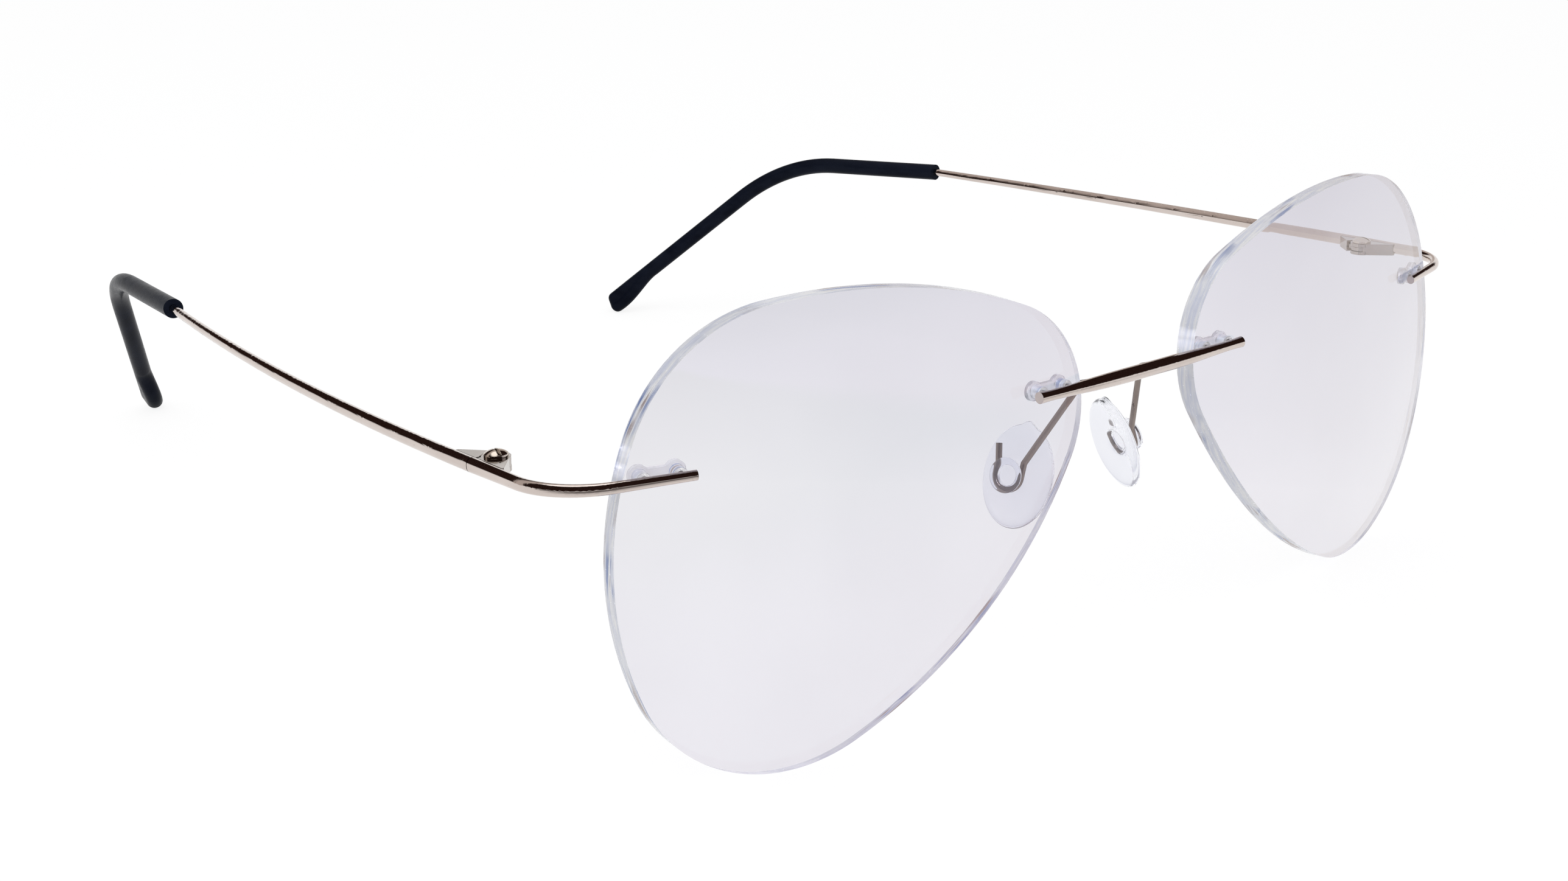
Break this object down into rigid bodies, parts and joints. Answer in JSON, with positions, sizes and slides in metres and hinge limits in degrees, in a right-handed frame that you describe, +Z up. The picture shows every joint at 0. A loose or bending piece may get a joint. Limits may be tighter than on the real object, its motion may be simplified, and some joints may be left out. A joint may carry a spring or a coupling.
{
  "type": "rimless eyeglasses",
  "caption": "Rimless eyeglasses with drilled clear aviator lenses, thin polished metal bridge and folding temples, clear nose pads and black temple tips.",
  "frame": {"origin": "centre of the bounding box at table height, with the glasses standing open on the lens bottoms and the temple tips", "axes": "+Z up, -Y the way the wearer looks, +X to the wearer's left; the temples run to +Y"},
  "size_m": [0.132, 0.1535, 0.046],
  "materials": {
    "lens": "clear, polished",
    "metal": "polished, warm silver",
    "pin": "polished",
    "screw": "polished",
    "sleeve": "clear",
    "pad": "soft clear",
    "tip": "glossy black"
  },
  "bodies": {
    "front": {"bridge_bar": "metal", "lens_left": "lens", "bridge_pins_left": "pin", "bridge_sleeve_left": "sleeve", "pad_arm_left": "metal", "endpiece_left": "metal", "endpiece_pins_left": "pin", "endpiece_sleeve_left": "sleeve", "front_hinge_leaf_left": "metal", "hinge_screw_left": "screw", "lens_right": "lens", "bridge_pins_right": "pin", "bridge_sleeve_right": "sleeve", "pad_arm_right": "metal", "endpiece_right": "metal", "endpiece_pins_right": "pin", "endpiece_sleeve_right": "sleeve", "front_hinge_leaf_right": "metal", "hinge_screw_right": "screw"},
    "temple_arm_left": {"temple_left": "metal", "temple_tip_left": "tip", "temple_hinge_leaf_left": "metal"},
    "pad_left": {"nose_pad_left": "pad"},
    "temple_arm_right": {"temple_right": "metal", "temple_tip_right": "tip", "temple_hinge_leaf_right": "metal"},
    "pad_right": {"nose_pad_right": "pad"}
  },
  "joints": [
    {"name": "temple_left_fold", "type": "hinge", "parent": "front", "child": "temple_arm_left", "pos_m": [0.06338, -0.05458, 0.03128], "axis": [0, 0.0331, 0.9995], "range_deg": [0, 85]},
    {"name": "temple_right_fold", "type": "hinge", "parent": "front", "child": "temple_arm_right", "pos_m": [-0.06338, -0.05458, 0.03128], "axis": [0, -0.0331, -0.9995], "range_deg": [0, 78]},
    {"name": "nose_pad_left_turn", "type": "hinge", "parent": "front", "child": "pad_left", "pos_m": [0.00945, -0.06508, 0.02042], "axis": [0.9303, -0.1978, 0.309], "range_deg": [-11, 11]},
    {"name": "nose_pad_right_turn", "type": "hinge", "parent": "front", "child": "pad_right", "pos_m": [-0.00945, -0.06508, 0.02042], "axis": [-0.9303, -0.1978, 0.309], "range_deg": [-11, 11]}
  ]
}
